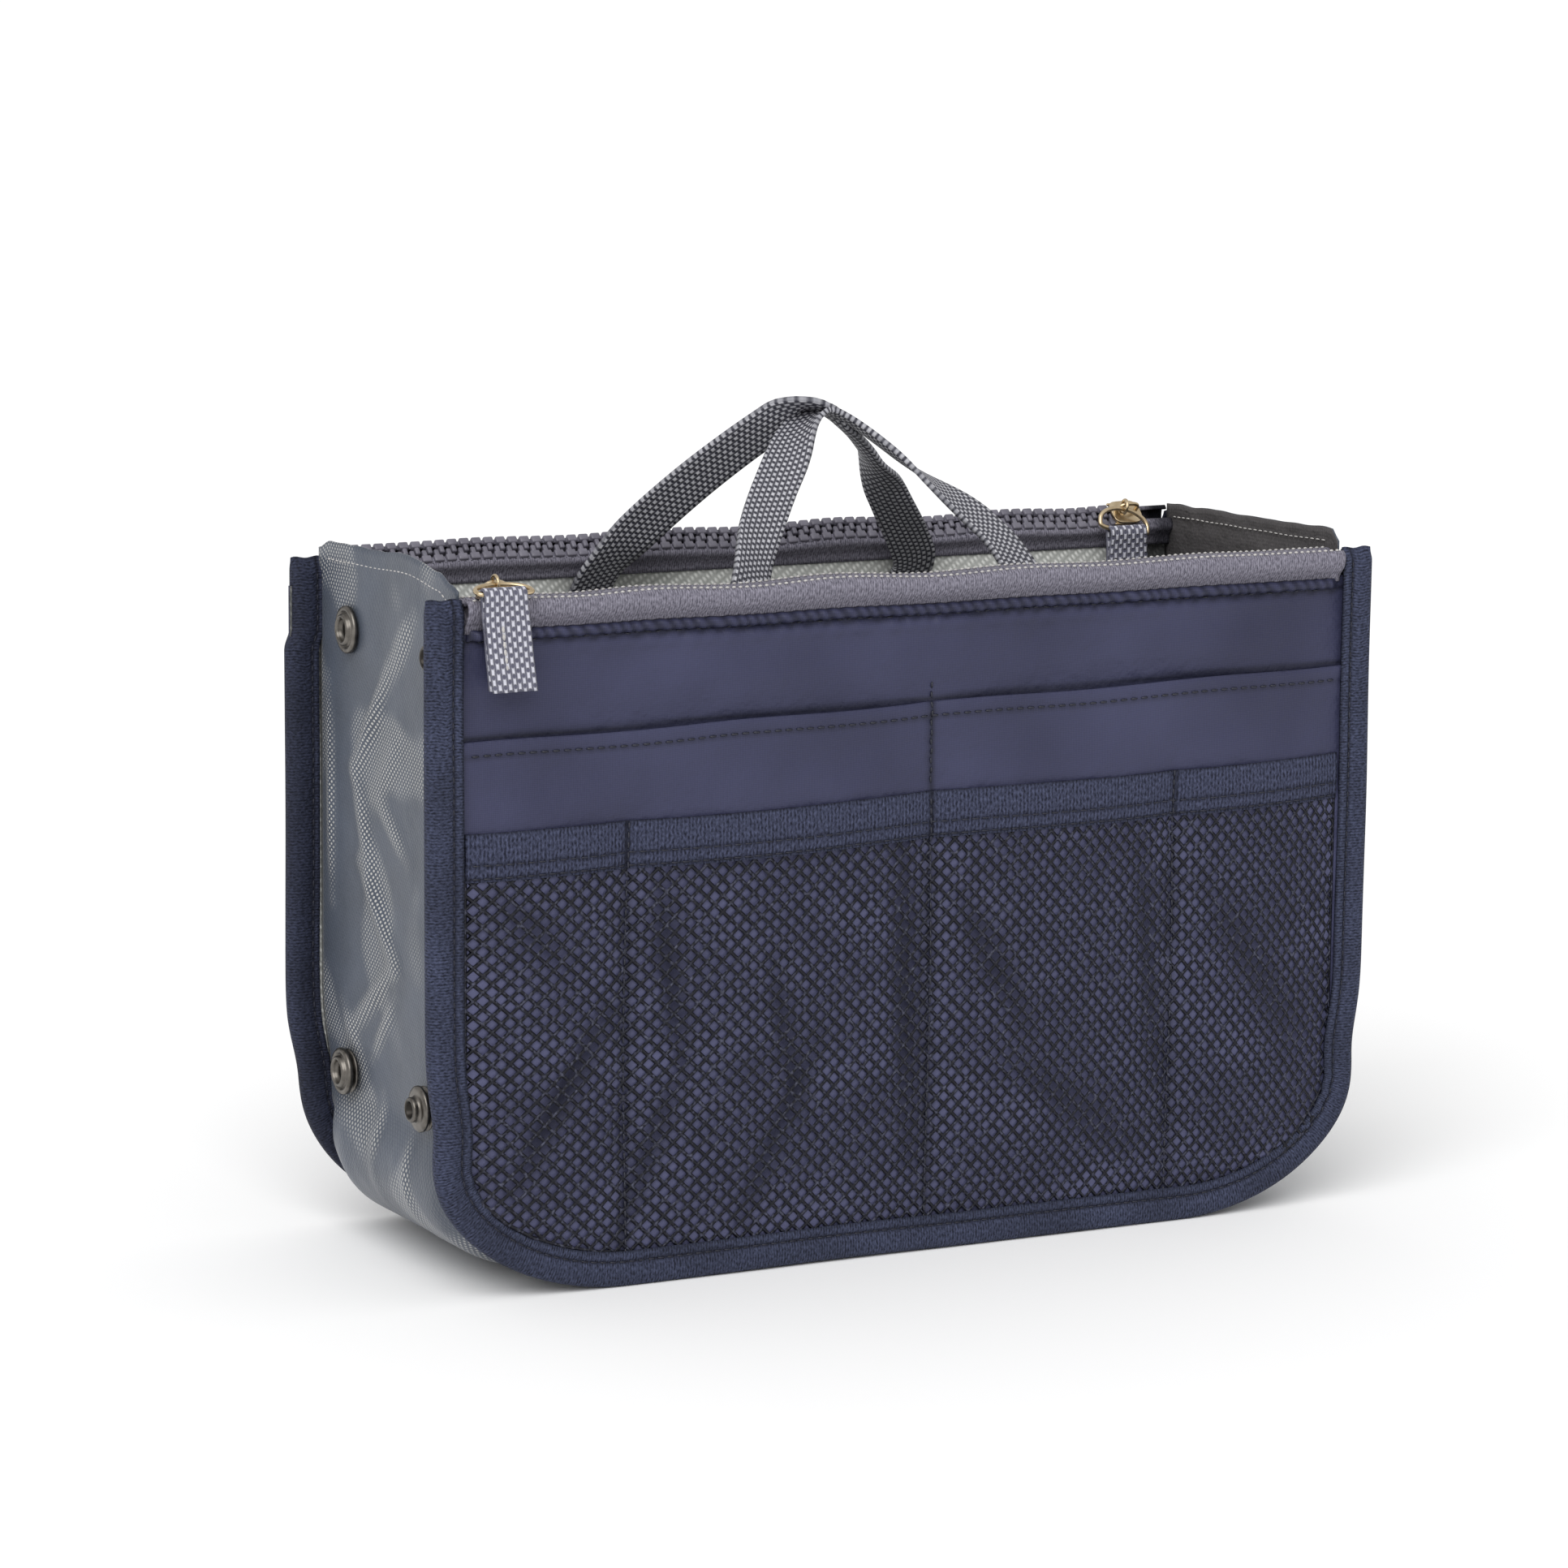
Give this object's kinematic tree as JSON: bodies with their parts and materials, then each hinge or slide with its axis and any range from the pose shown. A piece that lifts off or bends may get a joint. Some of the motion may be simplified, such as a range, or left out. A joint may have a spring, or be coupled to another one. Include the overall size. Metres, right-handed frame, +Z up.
{
  "type": "cosmetic organizer bag",
  "caption": "Soft upright bag-in-bag organizer: flat zipped pouches joined by a wide gusset, with mesh and slip pockets outside, webbing carrying handles, ring pulls and snaps that narrow it.",
  "frame": {"origin": "on the table under the middle of the bag, on the flat bottom of the gusset", "axes": "+Z up, +X along the length of the bag to its right seen from the front, -Y out of the front pouch"},
  "size_m": [0.285, 0.1043, 0.2319],
  "materials": {
    "navy_nylon": "coated nylon, slight sheen",
    "navy_mesh": "open diamond mesh, matte",
    "navy_binding": "ribbed tape, matte",
    "grey_lining": "fine twill, matte",
    "grey_gusset": "coated nylon, slight sheen",
    "zip_tape": "woven zip tape, matte",
    "zip_teeth": "moulded, semi-matte",
    "pale_gold": "satin plated",
    "grey_webbing": "two-tone woven webbing, matte",
    "gunmetal": "dark plated, satin"
  },
  "bodies": {
    "front_pouch": {"front_outer_panel": "navy_nylon", "front_slip_pocket": "navy_nylon", "front_mesh_pocket": "navy_mesh", "front_mesh_top_tape": "navy_binding", "front_lining_panel": "grey_lining", "front_inner_pocket": "grey_lining", "front_edge_binding": "navy_binding", "front_zip_tape_outer": "zip_tape", "front_zip_tape_inner": "zip_tape", "front_zip_teeth_outer": "zip_teeth", "front_zip_teeth_inner": "zip_teeth", "front_handle_foot_left": "grey_webbing", "front_handle_foot_right": "grey_webbing", "gusset": "grey_gusset", "snap_stud_upper_left": "gunmetal", "snap_stud_upper_right": "gunmetal", "snap_stud_lower_left": "gunmetal", "snap_stud_lower_right": "gunmetal", "snap_stud_cap_upper_left": "gunmetal", "snap_stud_cap_upper_right": "gunmetal", "snap_stud_cap_lower_left": "gunmetal", "snap_stud_cap_lower_right": "gunmetal"},
    "rear_pouch": {"rear_outer_panel": "navy_nylon", "rear_slip_pocket": "navy_nylon", "rear_mesh_pocket": "navy_mesh", "rear_mesh_top_tape": "navy_binding", "rear_lining_panel": "grey_lining", "rear_inner_pocket": "grey_lining", "rear_edge_binding": "navy_binding", "rear_zip_tape_outer": "zip_tape", "rear_zip_tape_inner": "zip_tape", "rear_zip_teeth_outer": "zip_teeth", "rear_zip_teeth_inner": "zip_teeth", "rear_handle_foot_left": "grey_webbing", "rear_handle_foot_right": "grey_webbing", "snap_socket_upper_left": "gunmetal", "snap_socket_upper_right": "gunmetal", "snap_socket_lower_left": "gunmetal", "snap_socket_lower_right": "gunmetal", "snap_socket_cap_upper_left": "gunmetal", "snap_socket_cap_upper_right": "gunmetal", "snap_socket_cap_lower_left": "gunmetal", "snap_socket_cap_lower_right": "gunmetal"},
    "front_slider": {"front_zip_slider": "pale_gold"},
    "front_ring": {"front_zip_link": "pale_gold", "front_zip_ring": "pale_gold"},
    "front_tab": {"front_zip_pull_tab": "grey_webbing"},
    "front_handle": {"front_handle": "grey_webbing"},
    "rear_slider": {"rear_zip_slider": "pale_gold"},
    "rear_ring": {"rear_zip_link": "pale_gold", "rear_zip_ring": "pale_gold"},
    "rear_tab": {"rear_zip_pull_tab": "grey_webbing"},
    "rear_handle": {"rear_handle": "grey_webbing"}
  },
  "joints": [
    {"name": "width_adjust", "type": "slide", "parent": "front_pouch", "child": "rear_pouch", "axis": [0, -1, 0], "range_m": [0, 0.034], "deforming": ["gusset"]},
    {"name": "front_zip_slide", "type": "slide", "parent": "front_pouch", "child": "front_slider", "axis": [1, 0, 0], "range_m": [0, 0.24], "deforming": ["front_zip_teeth_outer", "front_zip_teeth_inner"]},
    {"name": "rear_zip_slide", "type": "slide", "parent": "rear_pouch", "child": "rear_slider", "axis": [-1, 0, 0], "range_m": [0, 0.234], "deforming": ["rear_zip_teeth_outer", "rear_zip_teeth_inner", "rear_zip_pull_tab"]},
    {"name": "front_ring_hinge", "type": "hinge", "parent": "front_slider", "child": "front_ring", "pos_m": [-0.1225, -0.0455, 0.18865], "axis": [-1, 0, 0], "range_deg": [0, 200]},
    {"name": "rear_ring_hinge", "type": "hinge", "parent": "rear_slider", "child": "rear_ring", "pos_m": [0.117, 0.04012, 0.18838], "axis": [-1, 0, 0], "range_deg": [0, 200]},
    {"name": "front_tab_hinge", "type": "hinge", "parent": "front_ring", "child": "front_tab", "pos_m": [-0.1225, -0.05302, 0.18514], "axis": [-1, 0, 0], "range_deg": [0, 100]},
    {"name": "rear_tab_hinge", "type": "hinge", "parent": "rear_ring", "child": "rear_tab", "pos_m": [0.117, 0.03839, 0.18026], "axis": [-1, 0, 0], "range_deg": [0, 100]},
    {"name": "front_handle_swing", "type": "hinge", "parent": "front_pouch", "child": "front_handle", "pos_m": [-0.004, -0.0449, 0.169], "axis": [1, 0, 0], "range_deg": [-50, 11]},
    {"name": "rear_handle_swing", "type": "hinge", "parent": "rear_pouch", "child": "rear_handle", "pos_m": [-0.004, 0.0449, 0.169], "axis": [-1, 0, 0], "range_deg": [0, 11]}
  ]
}
